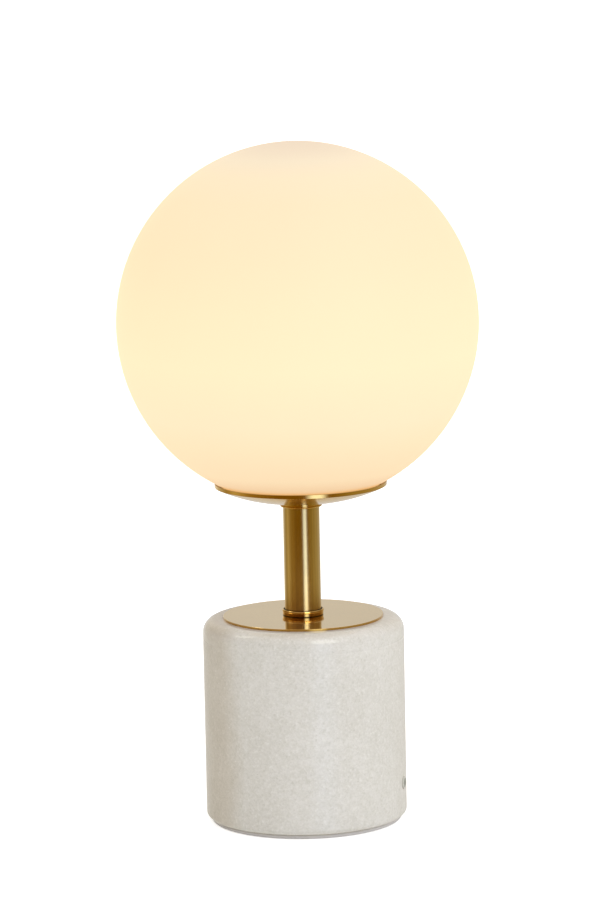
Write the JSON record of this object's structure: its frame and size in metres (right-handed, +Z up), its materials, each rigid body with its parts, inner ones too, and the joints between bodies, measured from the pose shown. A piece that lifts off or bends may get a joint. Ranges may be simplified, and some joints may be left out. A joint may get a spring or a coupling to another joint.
{
  "type": "glass globe table lamp",
  "caption": "Table lamp with a lift-off opal glass globe in a shallow brass dish, on a short brass stem that stands on a rounded marble cylinder.",
  "frame": {"origin": "centre of the foot pad's underside, on the floor", "axes": "+Z up along the stem, +X towards the cord outlet in the side of the marble"},
  "size_m": [0.2, 0.2, 0.3792],
  "materials": {
    "marble": "honed, faintly glossy",
    "pad": "soft, pale and translucent",
    "brass_polished": "polished",
    "brass_disc": "polished spun disc",
    "brass_plain": "as turned",
    "zinc_steel": "zinc plated",
    "spring_steel": "bright spring strip",
    "nylon": "satin",
    "silicone": "soft, milky",
    "opal_glass": "satin opal, lit from inside",
    "holder_plastic": "satin thermoplastic",
    "steatite": "unglazed",
    "nickel": "nickel plated",
    "contact_brass": "stamped strip",
    "bulb_plastic": "gloss",
    "bulb_cover": "frosted, lit from inside",
    "black_insulator": "glassy black"
  },
  "bodies": {
    "stand": {"foot_pad": "pad", "marble_base": "marble", "cord_bushing": "nylon", "base_washer": "zinc_steel", "base_lock_washer": "zinc_steel", "base_nut": "zinc_steel", "threaded_rod": "zinc_steel", "cover_disc": "brass_disc", "lower_collar": "brass_polished", "stem_tube": "brass_polished", "upper_collar": "brass_polished", "globe_dish": "brass_polished", "glass_gasket": "silicone", "clip_spacer": "brass_plain", "clip_spring": "spring_steel", "clip_sleeves": "silicone", "dish_lock_washer": "zinc_steel", "dish_nut": "brass_plain", "holder_nut": "brass_plain", "holder_nipple": "brass_plain", "holder_cap": "holder_plastic", "holder_body": "holder_plastic", "holder_core": "steatite", "screw_shell": "nickel", "centre_contact": "contact_brass", "terminals": "contact_brass", "terminal_screws": "nickel"},
    "globe": {"glass_globe": "opal_glass"},
    "bulb": {"bulb_tip": "contact_brass", "bulb_insulator": "black_insulator", "bulb_cap": "nickel", "bulb_housing": "bulb_plastic", "bulb_dome": "bulb_cover"}
  },
  "joints": [
    {"name": "globe_lift", "type": "slide", "parent": "stand", "child": "globe", "axis": [0, 0, 1], "range_m": [0, 0.125]},
    {"name": "bulb_turn", "type": "hinge", "parent": "stand", "child": "bulb", "pos_m": [0, 0, 0.235], "axis": [0, 0, 1], "range_deg": [0, 1440]}
  ]
}
